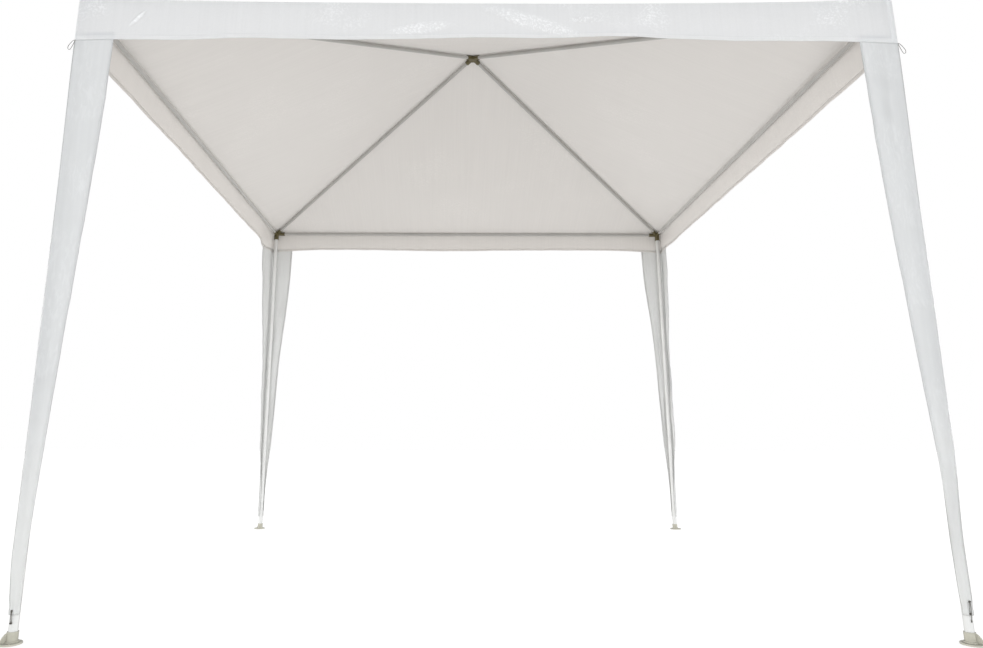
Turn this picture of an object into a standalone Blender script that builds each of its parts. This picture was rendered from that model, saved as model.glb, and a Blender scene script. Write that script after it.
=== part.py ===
"""Marquee tent: a square push-fit party tent on four legs.

Steel tubes plug into moulded corner and peak connectors, and a woven sheet
roof with a valance and four leg covers is drawn over the frame.  The plan is
square, so each piece is designed once at the front left corner and repeated
by a quarter turn about the tent's middle.  Metres, +Z up, the floor at zero.
"""
import math

import bmesh
import bpy
from mathutils import Matrix, Vector

# Driving dimensions of the frame
LEG_SPACING = 2.70          # between leg axes, both ways
EAVE_HEIGHT = 1.99          # axis of the eave tubes
ROOF_RISE = 0.60            # eave axis to the point where the rafters meet

# Steel tube
LEG_RADIUS = 0.0125
ROOF_RADIUS = 0.0095
TUBE_WALL = 0.0010
SWAGE_LENGTH = 0.055        # narrowed end that plugs into the next tube
TUBE_SIDES = 16

# Fits
FIT_GAP = 0.00035           # round a tube in its socket
SEAT_GAP = 0.0003           # between faces that touch

# Moulded connectors
SOCKET_WALL = 0.0030
EAVE_SOCKET_END = 0.058     # from the connector's middle to the socket's mouth
EAVE_SOCKET_START = 0.029   # where a roof tube's end stops
LEG_SOCKET_DROP = 0.042     # mouth of the leg socket below the eave axis
LEG_STOP = 0.0035           # end of the leg below the eave axis
BARREL_TOP = 0.0068         # top of the corner connector above the eave axis
PEAK_BODY_RADIUS = 0.019
PEAK_BODY_DROP = 0.016
PEAK_DOME_TOP = 0.0136
PEAK_DOME_EDGE = 0.0055
PEAK_SOCKET_START = 0.024
PEAK_SOCKET_END = 0.047

# Foot plates
FOOT_RADIUS = 0.0335
FOOT_THICKNESS = 0.0045
FOOT_CHAMFER = 0.001
FOOT_OFFSET = 0.006         # middle of the plate beyond the leg axis
FOOT_STEP_RADIUS = 0.0190   # low step round the root of the socket
FOOT_STEP_TOP = 0.0080
FOOT_SOCKET_TOP = 0.0325
FOOT_FLOOR = 0.0050
WEB_REACH = 0.0350          # outer end of the web from the leg axis
WEB_TOE = 0.0065
WEB_BACK = ((0.0305, 0.0115), (0.0265, 0.0195), (0.0205, 0.0268))
WEB_TOP = 0.0312
WEB_THICKNESS = 0.0030
PEG_HOLE_RADIUS = 0.0032
PEG_HOLE_FROM_AXIS = 0.0255
PEG_HOLE_TURN = math.radians(60)    # either side of the web
OUTWARDS = math.radians(225)        # away from the tent's middle, at the front left
FOOT_SIDES = 32

# Sheet roof
SHEET = 0.0030              # stand-in thickness of the woven sheet
SHEET_OVER_AXIS = 0.0130    # underside of the roof from the tube axes
VALANCE_FACE = 0.027        # outer face of the valance beyond the leg axes
VALANCE_HEM = 1.862
COVER_FACE = 0.021          # outer face of the leg cover at the eave
COVER_FOOT_FACE = 0.0163    # and at its tied lower end
COVER_BOTTOM = 0.078
MITRE_GAP = 0.0003
# Width of a leg cover's wing at heights above the floor
COVER_STATIONS = ((0.078, 0.033), (0.22, 0.037), (0.52, 0.053), (0.87, 0.074),
                  (1.24, 0.099), (1.57, 0.117), (1.78, 0.124))
COVER_TOP_WIDTH = 0.128

HALF = LEG_SPACING / 2
SLOPE = ROOF_RISE / HALF
PLANE_RISE = SHEET_OVER_AXIS * math.hypot(1, SLOPE)
PEAK_HEIGHT = EAVE_HEIGHT + ROOF_RISE
RAFTER = Vector((HALF, HALF, ROOF_RISE))
LEG_JOINT = 1.00            # height of the joint between lower and upper leg

CORNERS = ("front_left", "front_right", "back_right", "back_left")
SIDES = ("front", "right", "back", "left")
CORNER_WORDS = (("front", "left"), ("right", "front"), ("back", "right"), ("left", "back"))


def clear_scene():
    for obj in list(bpy.data.objects):
        bpy.data.objects.remove(obj, do_unlink=True)


def finish_material(name, color, roughness, metallic):
    material = bpy.data.materials.new(name)
    material.use_nodes = True
    shader = material.node_tree.nodes["Principled BSDF"]
    shader.inputs["Base Color"].default_value = (*color, 1.0)
    shader.inputs["Roughness"].default_value = roughness
    shader.inputs["Metallic"].default_value = metallic
    return material


def mesh_from(bm, name, smooth=True):
    bmesh.ops.recalc_face_normals(bm, faces=bm.faces)
    mesh = bpy.data.meshes.new(name)
    bm.to_mesh(mesh)
    bm.free()
    if smooth:
        mesh.shade_smooth()
        mesh.set_sharp_from_angle(angle=math.radians(40))
    return mesh


def solid_between(name, lower, upper):
    """A closed solid between two like outlines, corner by corner."""
    bm = bmesh.new()
    below = [bm.verts.new(point) for point in lower]
    above = [bm.verts.new(point) for point in upper]
    count = len(below)
    bm.faces.new(below)
    bm.faces.new(above)
    for i in range(count):
        j = (i + 1) % count
        bm.faces.new((below[i], below[j], above[j], above[i]))
    return mesh_from(bm, name, smooth=False)


def turned_mesh(name, profile, sides, on_axis=False):
    """Spin a wall section, given as (radius, height) pairs, about +Z."""
    bm = bmesh.new()
    points = [bm.verts.new((radius, 0.0, height)) for radius, height in profile]
    following = points[1:] if on_axis else points[1:] + points[:1]
    edges = [bm.edges.new(pair) for pair in zip(points, following)]
    bmesh.ops.spin(bm, geom=points + edges, axis=(0, 0, 1), cent=(0, 0, 0),
                   steps=sides, angle=math.tau)
    bmesh.ops.remove_doubles(bm, verts=bm.verts, dist=0.00001)
    return mesh_from(bm, name)


def plain_tube(name, radius, length):
    inner = radius - TUBE_WALL
    return turned_mesh(name, [(radius, 0), (radius, length), (inner, length), (inner, 0)],
                       TUBE_SIDES)


def swaged_tube(name, radius, length):
    """A tube whose far end is narrowed to plug into a plain one."""
    inner = radius - TUBE_WALL
    neck = inner - FIT_GAP
    bore = neck - TUBE_WALL
    taper = 0.006
    end = length + SWAGE_LENGTH
    return turned_mesh(name, [(radius, 0), (radius, length), (neck, length), (neck, end),
                              (bore, end), (bore, length - taper),
                              (inner, length - 2 * taper), (inner, 0)], TUBE_SIDES)


def round_bar(name, radius, start, end, sides=TUBE_SIDES):
    return turned_mesh(name, [(0, start), (radius, start), (radius, end), (0, end)],
                       sides, on_axis=True)


def aim(direction):
    """Rotation that takes +Z to a direction."""
    return Vector(direction).to_track_quat("Z", "Y").to_matrix().to_4x4()


def helper(mesh, matrix):
    """An object used only by a Boolean: never shown, removed once it is cut."""
    obj = bpy.data.objects.new(mesh.name, mesh)
    bpy.context.scene.collection.objects.link(obj)
    obj.matrix_world = matrix
    obj.hide_render = True
    obj.display_type = "WIRE"
    return obj


def combine(name, body, joined, cut):
    """Join bars to a body, cut bores out of it, and return the finished mesh."""
    base = helper(body, Matrix.Identity(4))
    operands = [("UNION", obj) for obj in joined] + [("DIFFERENCE", obj) for obj in cut]
    for operation, obj in operands:
        modifier = base.modifiers.new(operation.lower(), "BOOLEAN")
        modifier.operation = operation
        modifier.solver = "EXACT"
        modifier.object = obj
    graph = bpy.context.evaluated_depsgraph_get()
    graph.update()
    mesh = bpy.data.meshes.new_from_object(base.evaluated_get(graph))
    mesh.name = name
    for obj in [base] + joined + cut:
        bpy.data.objects.remove(obj, do_unlink=True)
    mesh.materials.clear()
    mesh.shade_smooth()
    mesh.set_sharp_from_angle(angle=math.radians(40))
    return mesh


def arm_turn(k):
    """A small twist for each arm, so that no facets of two arms lie in one plane."""
    return Matrix.Rotation(0.07 + 0.09 * k, 4, "Z")


def corner_connector_mesh():
    """Leg socket below, an eave socket along each side, a rafter socket inwards."""
    barrel = LEG_RADIUS + FIT_GAP + SOCKET_WALL
    arm = ROOF_RADIUS + FIT_GAP + SOCKET_WALL - 0.0004
    body = turned_mesh("corner_body", [(0, -LEG_SOCKET_DROP), (barrel, -LEG_SOCKET_DROP),
                                       (barrel, BARREL_TOP - 0.003),
                                       (barrel - 0.003, BARREL_TOP), (0, BARREL_TOP)],
                       24, on_axis=True)
    ways = ((1, 0, 0), (0, 1, 0), tuple(RAFTER))
    bars = [helper(round_bar("arm", arm, 0.0, EAVE_SOCKET_END), aim(way) @ arm_turn(k))
            for k, way in enumerate(ways)]
    bores = [helper(round_bar("bore", ROOF_RADIUS + FIT_GAP, EAVE_SOCKET_START,
                              EAVE_SOCKET_END + 0.01), aim(way)) for way in ways]
    leg_bore = round_bar("leg_bore", LEG_RADIUS + FIT_GAP, -LEG_SOCKET_DROP - 0.01,
                         -LEG_STOP)
    bores.append(helper(leg_bore, Matrix.Identity(4)))
    return combine("corner_connector", body, bars, bores)


def peak_connector_mesh():
    """A domed hub with four sockets that point down along the rafters."""
    arm = ROOF_RADIUS + FIT_GAP + SOCKET_WALL - 0.0004
    body = turned_mesh("peak_body", [(0, -PEAK_BODY_DROP), (PEAK_BODY_RADIUS, -PEAK_BODY_DROP),
                                     (PEAK_BODY_RADIUS, PEAK_DOME_EDGE - 0.004),
                                     (PEAK_BODY_RADIUS - 0.003, PEAK_DOME_EDGE),
                                     (0.004, PEAK_DOME_TOP - 0.002), (0, PEAK_DOME_TOP - 0.002)],
                       24, on_axis=True)
    ways = [Matrix.Rotation(math.tau * k / 4, 4, "Z") @ aim(-RAFTER) for k in range(4)]
    bars = [helper(round_bar("arm", arm, 0.0, PEAK_SOCKET_END), way @ arm_turn(k))
            for k, way in enumerate(ways)]
    bores = [helper(round_bar("bore", ROOF_RADIUS + FIT_GAP, PEAK_SOCKET_START,
                              PEAK_SOCKET_END + 0.01), way) for way in ways]
    return combine("peak_connector", body, bars, bores)


def foot_web_mesh(socket_radius):
    """A thin upright web from the back of the leg socket down to the plate's edge."""
    root = socket_radius - 0.0012
    bottom = FOOT_THICKNESS / 2
    section = ((root, bottom), (WEB_REACH, bottom), (WEB_REACH, WEB_TOE), *WEB_BACK,
               (root, WEB_TOP))
    half = WEB_THICKNESS / 2
    return solid_between("foot_web", [(r, -half, z) for r, z in section],
                         [(r, half, z) for r, z in section])


def foot_mesh():
    """A round plate set outwards of the leg, its stepped socket, one web and two peg holes."""
    socket = LEG_RADIUS + FIT_GAP
    outer = socket + SOCKET_WALL - 0.0007
    plate_root = FOOT_THICKNESS / 4
    body = turned_mesh("foot_body", [(0, plate_root), (FOOT_STEP_RADIUS, plate_root),
                                     (FOOT_STEP_RADIUS, FOOT_STEP_TOP - FOOT_CHAMFER),
                                     (FOOT_STEP_RADIUS - FOOT_CHAMFER, FOOT_STEP_TOP),
                                     (outer, FOOT_STEP_TOP), (outer, FOOT_SOCKET_TOP),
                                     (socket, FOOT_SOCKET_TOP), (socket, FOOT_FLOOR),
                                     (0, FOOT_FLOOR)], FOOT_SIDES, on_axis=True)
    disc = turned_mesh("foot_disc", [(0, 0), (FOOT_RADIUS, 0),
                                     (FOOT_RADIUS, FOOT_THICKNESS - FOOT_CHAMFER),
                                     (FOOT_RADIUS - FOOT_CHAMFER, FOOT_THICKNESS),
                                     (0, FOOT_THICKNESS)], FOOT_SIDES, on_axis=True)
    outwards = Matrix.Rotation(OUTWARDS, 4, "Z")
    joined = [helper(disc, outwards @ Matrix.Translation((FOOT_OFFSET, 0, 0))),
              helper(foot_web_mesh(outer), outwards)]
    holes = []
    for turn in (-PEG_HOLE_TURN, PEG_HOLE_TURN):
        place = outwards @ Matrix.Rotation(turn, 4, "Z")
        place = place @ Matrix.Translation((PEG_HOLE_FROM_AXIS, 0, 0))
        holes.append(helper(round_bar("peg_hole", PEG_HOLE_RADIUS, -0.01, 0.01, 10), place))
    return combine("foot_plate", body, joined, holes)


def roof_underside(distance):
    """Height of the roof's underside at a distance from the tent's middle."""
    return PEAK_HEIGHT + PLANE_RISE - SLOPE * distance


def roof_panel_mesh():
    """The front quarter of the roof, mitred where it meets its neighbours."""
    edge = HALF + VALANCE_FACE
    thickness = SHEET * math.hypot(1, SLOPE)
    plan = ((-edge + MITRE_GAP, -edge), (edge - MITRE_GAP, -edge), (0, -MITRE_GAP))
    lower = [(x, y, roof_underside(-y)) for x, y in plan]
    upper = [(x, y, z + thickness) for x, y, z in lower]
    return solid_between("roof_panel", lower, upper)


def valance_mesh():
    """The flat skirt that hangs from the front eave, mitred at its ends."""
    outer = HALF + VALANCE_FACE
    inner = outer - SHEET
    top = roof_underside(outer) - SEAT_GAP
    plan = ((-outer + MITRE_GAP, -outer), (outer - MITRE_GAP, -outer),
            (inner - MITRE_GAP, -inner), (-inner + MITRE_GAP, -inner))
    return solid_between("valance", [(x, y, VALANCE_HEM) for x, y in plan],
                         [(x, y, top) for x, y in plan])


def leg_cover_mesh():
    """Two tapering wings at a right angle round the outside of the leg."""
    top = roof_underside(HALF + COVER_FACE) - 0.0004
    stations = [*COVER_STATIONS, (top, COVER_TOP_WIDTH)]
    bottom = stations[0][0]
    bm = bmesh.new()
    rings = []
    for height, width in stations:
        share = (height - bottom) / (top - bottom)
        face = COVER_FOOT_FACE + (COVER_FACE - COVER_FOOT_FACE) * share
        corner = -HALF - face
        inner = corner + SHEET
        end = corner + width
        outline = ((corner, corner), (end, corner), (end, inner),
                   (inner, inner), (inner, end), (corner, end))
        rings.append([bm.verts.new((x, y, height)) for x, y in outline])
    for lower, upper in zip(rings, rings[1:]):
        for i in range(6):
            j = (i + 1) % 6
            bm.faces.new((lower[i], lower[j], upper[j], upper[i]))
    for ring in (rings[0], rings[-1]):
        bm.faces.new((ring[0], ring[1], ring[2], ring[3]))
        bm.faces.new((ring[0], ring[3], ring[4], ring[5]))
    return mesh_from(bm, "leg_cover", smooth=False)


def place(name, mesh, material, parent, location=(0, 0, 0), direction=(0, 0, 1)):
    obj = bpy.data.objects.new(name, mesh)
    if not mesh.materials:
        mesh.materials.append(material)
    bpy.context.scene.collection.objects.link(obj)
    obj.parent = parent
    obj.location = location
    if tuple(direction) != (0, 0, 1):
        obj.rotation_euler = aim(direction).to_euler()
    return obj


def build():
    clear_scene()
    steel = finish_material("white_painted_steel", (0.62, 0.62, 0.60), 0.35, 0.0)
    connector_plastic = finish_material("dark_connector_plastic", (0.075, 0.062, 0.040), 0.45, 0.0)
    foot_plastic = finish_material("beige_foot_plastic", (0.56, 0.53, 0.45), 0.50, 0.0)
    sheet = finish_material("white_woven_sheet", (0.78, 0.79, 0.79), 0.42, 0.0)

    foot_top_of_leg = FOOT_FLOOR + SEAT_GAP
    leg_top = EAVE_HEIGHT - LEG_STOP - SEAT_GAP
    tube_start = EAVE_SOCKET_START + SEAT_GAP
    eave_half = HALF - tube_start
    rafter_length = RAFTER.length - tube_start - (PEAK_SOCKET_START + SEAT_GAP)
    rafter_half = rafter_length / 2
    along_rafter = RAFTER.normalized()
    corner = Vector((-HALF, -HALF, EAVE_HEIGHT))
    peak = Vector((0, 0, PEAK_HEIGHT))

    foot = foot_mesh()
    lower_leg = plain_tube("leg_lower", LEG_RADIUS, LEG_JOINT - foot_top_of_leg - SEAT_GAP)
    upper_leg = swaged_tube("leg_upper", LEG_RADIUS, leg_top - LEG_JOINT)
    connector = corner_connector_mesh()
    plain_eave = plain_tube("eave_plain", ROOF_RADIUS, eave_half - SEAT_GAP)
    swaged_eave = swaged_tube("eave_swaged", ROOF_RADIUS, eave_half)
    lower_rafter = plain_tube("rafter_lower", ROOF_RADIUS, rafter_half - SEAT_GAP)
    upper_rafter = swaged_tube("rafter_upper", ROOF_RADIUS, rafter_half)
    panel = roof_panel_mesh()
    valance = valance_mesh()
    cover = leg_cover_mesh()

    place("peak_connector", peak_connector_mesh(), connector_plastic, None, peak)

    for k, corner_name in enumerate(CORNERS):
        quarter = bpy.data.objects.new("quarter_" + corner_name, None)
        bpy.context.scene.collection.objects.link(quarter)
        quarter.rotation_euler = (0, 0, math.tau * k / 4)
        leg_x, leg_y = corner.x, corner.y

        place("foot_plate_" + corner_name, foot, foot_plastic, quarter, (leg_x, leg_y, 0))
        place("leg_lower_" + corner_name, lower_leg, steel, quarter,
              (leg_x, leg_y, foot_top_of_leg))
        place("leg_upper_" + corner_name, upper_leg, steel, quarter,
              (leg_x, leg_y, leg_top), (0, 0, -1))
        place("corner_connector_" + corner_name, connector, connector_plastic, quarter, corner)

        side, other = CORNER_WORDS[k]
        place(f"eave_tube_{side}_{other}", plain_eave, steel, quarter,
              corner + Vector((tube_start, 0, 0)), (1, 0, 0))
        place(f"eave_tube_{other}_{side}", swaged_eave, steel, quarter,
              corner + Vector((0, tube_start, 0)), (0, 1, 0))
        place("rafter_lower_" + corner_name, lower_rafter, steel, quarter,
              corner + along_rafter * tube_start, along_rafter)
        place("rafter_upper_" + corner_name, upper_rafter, steel, quarter,
              peak - along_rafter * (PEAK_SOCKET_START + SEAT_GAP), -along_rafter)

        place("roof_panel_" + SIDES[k], panel, sheet, quarter)
        place("valance_" + SIDES[k], valance, sheet, quarter)
        place("leg_cover_" + corner_name, cover, sheet, quarter)


build()
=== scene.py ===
"""The looks of the marquee tent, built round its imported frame.

A white woven sheet roof with a valance and four leg covers, drawn over a push-fit
frame of painted steel tubes. Metres, +Z up, the floor at zero.
"""
import math

import bmesh
import bpy
from mathutils import Matrix, Vector, noise


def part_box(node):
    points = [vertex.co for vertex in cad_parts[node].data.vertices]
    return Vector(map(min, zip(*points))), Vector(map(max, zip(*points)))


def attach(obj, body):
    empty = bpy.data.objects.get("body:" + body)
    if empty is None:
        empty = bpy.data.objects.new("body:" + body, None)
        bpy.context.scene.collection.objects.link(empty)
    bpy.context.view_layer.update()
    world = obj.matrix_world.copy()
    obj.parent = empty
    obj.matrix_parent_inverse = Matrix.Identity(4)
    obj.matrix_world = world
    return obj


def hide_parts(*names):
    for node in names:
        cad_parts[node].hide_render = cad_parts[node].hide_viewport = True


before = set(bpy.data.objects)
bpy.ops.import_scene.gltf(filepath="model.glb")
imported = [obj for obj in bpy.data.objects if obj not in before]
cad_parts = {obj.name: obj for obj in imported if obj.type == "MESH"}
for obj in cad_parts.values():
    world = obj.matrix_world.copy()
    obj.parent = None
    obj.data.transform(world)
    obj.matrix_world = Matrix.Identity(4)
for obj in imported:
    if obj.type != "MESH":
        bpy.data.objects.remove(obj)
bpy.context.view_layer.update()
scene = bpy.context.scene


# The view. A wide lens at hip height just outside the open front, tilted up under
# the roof; the small shift is the trim of the picture round the tent.
LENS = 26.168
SENSOR = 36.0
TRIM = (0.0400, -0.0397)
EYE = Vector((-0.1247, -3.5285, 0.5566))
TILT_UP = math.radians(12.336)
TURN_RIGHT = math.radians(0.237)
LEAN = math.radians(0.096)


def linked(name, data):
    made = bpy.data.objects.new(name, data)
    scene.collection.objects.link(made)
    return made


lens = bpy.data.cameras.new("view")
lens.lens = LENS
lens.sensor_width = SENSOR
lens.shift_x, lens.shift_y = TRIM
camera = linked("view", lens)
camera.matrix_world = (Matrix.Translation(EYE) @ Matrix.Rotation(-TURN_RIGHT, 4, "Z")
                       @ Matrix.Rotation(math.pi / 2 + TILT_UP, 4, "X")
                       @ Matrix.Rotation(LEAN, 4, "Z"))
scene.camera = camera


# The studio. A pale floor lit from below, which lights the sheet's inside, in a white room
# that is brightest in front at the horizon. Two small soft boxes in front find the creases,
# and larger ones behind and on both sides shine through the sheet.
FLOOR_REACH = 40.0
FLOOR_DROP = 0.0006
FLOOR_COLOUR = (0.20, 0.196, 0.189)
FLOOR_LIFT = 0.80           # makes the floor that the camera sees white
FLOOR_LIGHT = 0.90          # of the floor on the tent
FLOOR_LIGHT_COLOUR = (1.0, 0.995, 0.985)
ROOM_COLOUR = (0.96, 0.98, 1.0)
FRONT_LIGHT = 2.60          # of the horizon, on the side that the view is from
BACK_LIGHT = 0.60
FRONT_TO_BACK = (-0.9, 0.1)
ZENITH_LIGHT = 1.12
ZENITH_START = 0.55
WHITE = (1, 1, 1, 1)
# Name, place, height aimed at, width, watts and colour of each soft box.
SOFT_BOXES = (("front_left", (-3.0, -6.6, 4.2), 1.4, 0.8, 5, (0.98, 0.99, 1.0)),
              ("front_right", (3.4, -6.4, 3.8), 1.4, 0.8, 5, (0.98, 0.99, 1.0)),
              ("behind", (0.0, 7.5, 3.4), 1.4, 3.0, 150, (1.0, 0.99, 0.97)),
              ("left", (-7.5, 0.4, 1.6), 1.6, 3.0, 165, (1.0, 0.99, 0.98)),
              ("right", (7.5, 0.4, 1.6), 1.6, 3.0, 155, (0.96, 0.985, 1.0)))


class Net:
    """A node tree, with short words for the nodes that come up often."""

    def __init__(self, tree):
        self.tree = tree
        self.shader = tree.nodes.get("Principled BSDF")

    def feed(self, socket, value):
        if isinstance(value, bpy.types.NodeSocket):
            self.tree.links.new(value, socket)
        else:
            socket.default_value = value

    def set(self, name, value):
        self.feed(self.shader.inputs[name], value)

    def node(self, kind, inputs=(), **settings):
        """The outputs of a new node, with its settings, and its inputs set or linked."""
        node = self.tree.nodes.new(kind)
        for name, value in settings.items():
            setattr(node, name, value)
        for key, value in dict(inputs).items():
            self.feed(node.inputs[key], value)
        return node.outputs

    def add(self, kind, inputs=(), **settings):
        return self.node("ShaderNode" + kind, inputs, **settings)

    def ranged(self, value, low, high, start=0.0, end=1.0, smooth=False):
        """A value's way from low to high, as a number from start to end."""
        kind = "SMOOTHSTEP" if smooth else "LINEAR"
        return self.add("MapRange", {"Value": value, "From Min": low, "From Max": high,
                                     "To Min": start, "To Max": end}, interpolation_type=kind)[0]

    def noise(self, place, scale, detail, roughness=0.5):
        return self.add("TexNoise", {"Vector": place, "Scale": scale, "Detail": detail,
                                     "Roughness": roughness})

    def mixed(self, share, first, second, way="MIX"):
        return self.add("Mix", {0: share, 6: first, 7: second}, data_type="RGBA", blend_type=way)[2]

    def tinted(self, colour, tone):
        return self.mixed(1.0, colour, tone, "MULTIPLY")

    def painted_rim_shade(self, blend, rim):
        """Painted shade: 1 where a surface faces the view, and less by a share where it turns
        away; a negative share paints light there instead.
        """
        return self.ranged(self.add("LayerWeight", {"Blend": blend})["Facing"], 0.25, 0.85, 1.0, 1 - rim)

    def for_camera(self, lit, seen):
        """One shader that lights the tent, and another that the camera sees."""
        ray = self.add("LightPath")["Is Camera Ray"]
        return self.add("MixShader", {0: ray, 1: lit, 2: seen})[0]

    def relief(self, height, strength, depth):
        bump = {"Height": height, "Strength": strength, "Distance": depth}
        self.set("Normal", self.add("Bump", bump)[0])

    def surface(self, result):
        self.feed(self.tree.nodes["Material Output"].inputs["Surface"], result)


def plain_finish(name, roughness):
    """A material and its net, round one Principled shader."""
    material = bpy.data.materials.new(name)
    material.use_nodes = True
    net = Net(material.node_tree)
    net.set("Roughness", roughness)
    return material, net


def mesh_object(name, bm, *finishes):
    """A bmesh as an object with its finishes."""
    mesh = bpy.data.meshes.new(name)
    bm.to_mesh(mesh)
    bm.free()
    for finish in finishes:
        mesh.materials.append(finish)
    return linked(name, mesh)


scene.view_settings.view_transform = "Standard"
room = bpy.data.worlds.new("pale_room")
room.use_nodes = True
net = Net(room.node_tree)
net.tree.nodes.clear()
way = net.add("SeparateXYZ", {0: net.add("TexCoord")["Generated"]})
horizon = net.ranged(way["Y"], *FRONT_TO_BACK, FRONT_LIGHT, BACK_LIGHT)
level = net.ranged(way["Z"], 0.0, ZENITH_START, horizon, ZENITH_LIGHT)
lit = net.add("Background", {"Color": (*ROOM_COLOUR, 1), "Strength": level})
seen = net.add("Background", {"Color": WHITE, "Strength": 1.0})
net.add("OutputWorld", {"Surface": net.for_camera(lit[0], seen[0])})
scene.world = room

bm = bmesh.new()
bmesh.ops.create_grid(bm, x_segments=1, y_segments=1, size=FLOOR_REACH)
paper, net = plain_finish("pale_paper", 0.9)
net.set("Base Color", (*FLOOR_COLOUR, 1))
net.set("Specular IOR Level", 0.1)
glow = net.add("Emission", {"Color": WHITE, "Strength": FLOOR_LIFT})
seen = net.add("AddShader", {0: net.shader.outputs[0], 1: glow[0]})
lit = net.add("Emission", {"Color": (*FLOOR_LIGHT_COLOUR, 1), "Strength": FLOOR_LIGHT})
net.surface(net.for_camera(lit[0], seen[0]))
floor = mesh_object("floor", bm, paper)
floor.location.z = -FLOOR_DROP

for name, place, aim_height, width, power, colour in SOFT_BOXES:
    light = bpy.data.lights.new(name, "AREA")
    light.shape = "SQUARE"
    light.size = width
    light.energy = power
    light.color = colour
    lamp = linked(name, light)
    lamp.location = place
    aim = Vector((0, 0, aim_height)) - lamp.location
    lamp.rotation_euler = aim.to_track_quat("-Z", "Y").to_euler()
    lamp.visible_camera = False


# Steel tubes. Legs, eave tubes and rafters are thin-walled steel with a baked pale
# grey paint, in halves that plug together; the frame's own tubes take the paint. The roof
# tubes take a darker copy of it, which is painted shade, with painted light towards their
# edges; the legs get painted shade towards theirs.
LEG_PAINT = (0.72, 0.72, 0.705)
ROOF_TUBE_SHADED_PAINT = (0.43, 0.421, 0.404)
BARE_STEEL = (0.34, 0.33, 0.32)
PAINT = {"roughness": 0.34, "skin_depth": 0.00005, "Skin": 700.0, "Blotch": 9.0, "Rub": 0.69}
SPECKLE_TONES = (0.93, 1.05)
MERGE_DISTANCE = 0.00002
SOFT_ANGLE = math.radians(38)


def rounded_look():
    """Geometry nodes that shade a faceted piece as the round one it stands for."""
    net = Net(bpy.data.node_groups.new("rounded_look", "GeometryNodeTree"))
    for way in ("INPUT", "OUTPUT"):
        net.tree.interface.new_socket("Geometry", in_out=way, socket_type="NodeSocketGeometry")
    merged = net.node("GeometryNodeMergeByDistance",
                      {"Geometry": net.node("NodeGroupInput")[0], "Distance": MERGE_DISTANCE})
    angle = net.node("GeometryNodeInputMeshEdgeAngle")
    sharp = net.node("FunctionNodeCompare", {0: angle["Unsigned Angle"], 1: SOFT_ANGLE},
                     operation="GREATER_THAN")
    normal = net.node("GeometryNodeSetMeshNormal",
                      {"Mesh": merged[0], "Remove Custom": True, "Edge Sharpness": sharp[0],
                       "Face Sharpness": False})
    net.node("NodeGroupOutput", {0: normal[0]})
    return net.tree


def shader_group(name, inputs, outputs):
    """The net of a new node group, and what comes in. An input with no value is a place."""
    net = Net(bpy.data.node_groups.new(name, "ShaderNodeTree"))
    for key, value in inputs.items():
        kind = "NodeSocketVector" if value is None else "NodeSocketFloat"
        socket = net.tree.interface.new_socket(key, in_out="INPUT", socket_type=kind)
        if value is not None:
            socket.default_value = value
    for key in outputs:
        net.tree.interface.new_socket(key, in_out="OUTPUT", socket_type="NodeSocketFloat")
    return net, net.node("NodeGroupInput")


def surface_speckle():
    """Shared by paint and moulded plastic: a fine skin, soft blotches and rubbed specks."""
    net, source = shader_group("surface_speckle", {"Place": None, "Skin": 900.0, "Blotch": 18.0,
                               "Rub": 0.62}, ("Height", "Tone", "Worn"))
    skin, blotch, specks = (net.noise(source["Place"], *grain)[0] for grain in (
        (source["Skin"], 2.0), (source["Blotch"], 5.0), (170.0, 6.0, 0.75)))
    net.node("NodeGroupOutput", {
        "Height": skin, "Tone": net.ranged(blotch, 0.3, 0.7, *SPECKLE_TONES),
        "Worn": net.ranged(specks, source["Rub"], 0.78)})
    return net.tree


def speckled_finish(name, colour, worn_colour, roughness, skin_depth, rim=0.0, **speckle):
    """Paint or moulded plastic: a colour with the shared speckle over it, and painted shade
    that makes it darker by a share where it turns away from the view (painted light that
    makes it lighter, where the share is negative)."""
    material, net = plain_finish(name, roughness)
    skin = net.add("Group", {"Place": net.add("TexCoord")["Object"], **speckle},
                   node_tree=speckle_group)
    toned = net.tinted((*colour, 1), skin["Tone"])
    rubbed = net.mixed(skin["Worn"], toned, (*worn_colour, 1))
    # The rim share paints shade, or light where it is negative, towards the outline.
    net.set("Base Color", net.tinted(rubbed, net.painted_rim_shade(0.35, rim)))
    rough = net.ranged(skin["Tone"], *SPECKLE_TONES, roughness + 0.08, roughness - 0.06)
    net.set("Roughness", rough)
    net.relief(skin["Height"], 0.5, skin_depth)
    return material


def dress_nodes(words, finish):
    """Gives a finish to the frame's own pieces whose names start with these words."""
    for name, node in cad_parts.items():
        if name.startswith(words):
            for place in node.material_slots:
                place.material = finish
            node.modifiers.new("rounded_look", "NODES").node_group = rounded_group


rounded_group = rounded_look()
speckle_group = surface_speckle()
# rim=0.50 paints shade towards the legs' edges.
leg_paint = speckled_finish("leg_tube_paint", LEG_PAINT, BARE_STEEL, rim=0.50, **PAINT)
# The roof tubes' darker colour is painted shade, and rim=-0.40 paints light towards their edges.
roof_paint_painted_shade = speckled_finish("roof_tube_paint_painted_shade", ROOF_TUBE_SHADED_PAINT, BARE_STEEL, rim=-0.40, **PAINT)
dress_nodes(("leg_lower", "leg_upper"), leg_paint)
dress_nodes(("eave_tube", "rafter"), roof_paint_painted_shade)


# Connectors. Three-way corner pieces and the four-way peak piece are moulded in a
# dark olive brown plastic, matt with a fine mould texture and paler rubbed specks.
DARK_OLIVE = (0.100, 0.082, 0.031)
RUBBED_OLIVE = (0.30, 0.25, 0.10)
MOULD_DEPTH = 0.00008

connector_plastic = speckled_finish("dark_olive_plastic", DARK_OLIVE, RUBBED_OLIVE, 0.40,
                                    MOULD_DEPTH, Skin=1100.0, Blotch=40.0, Rub=0.60)
dress_nodes(("corner_connector", "peak_connector"), connector_plastic)


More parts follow.
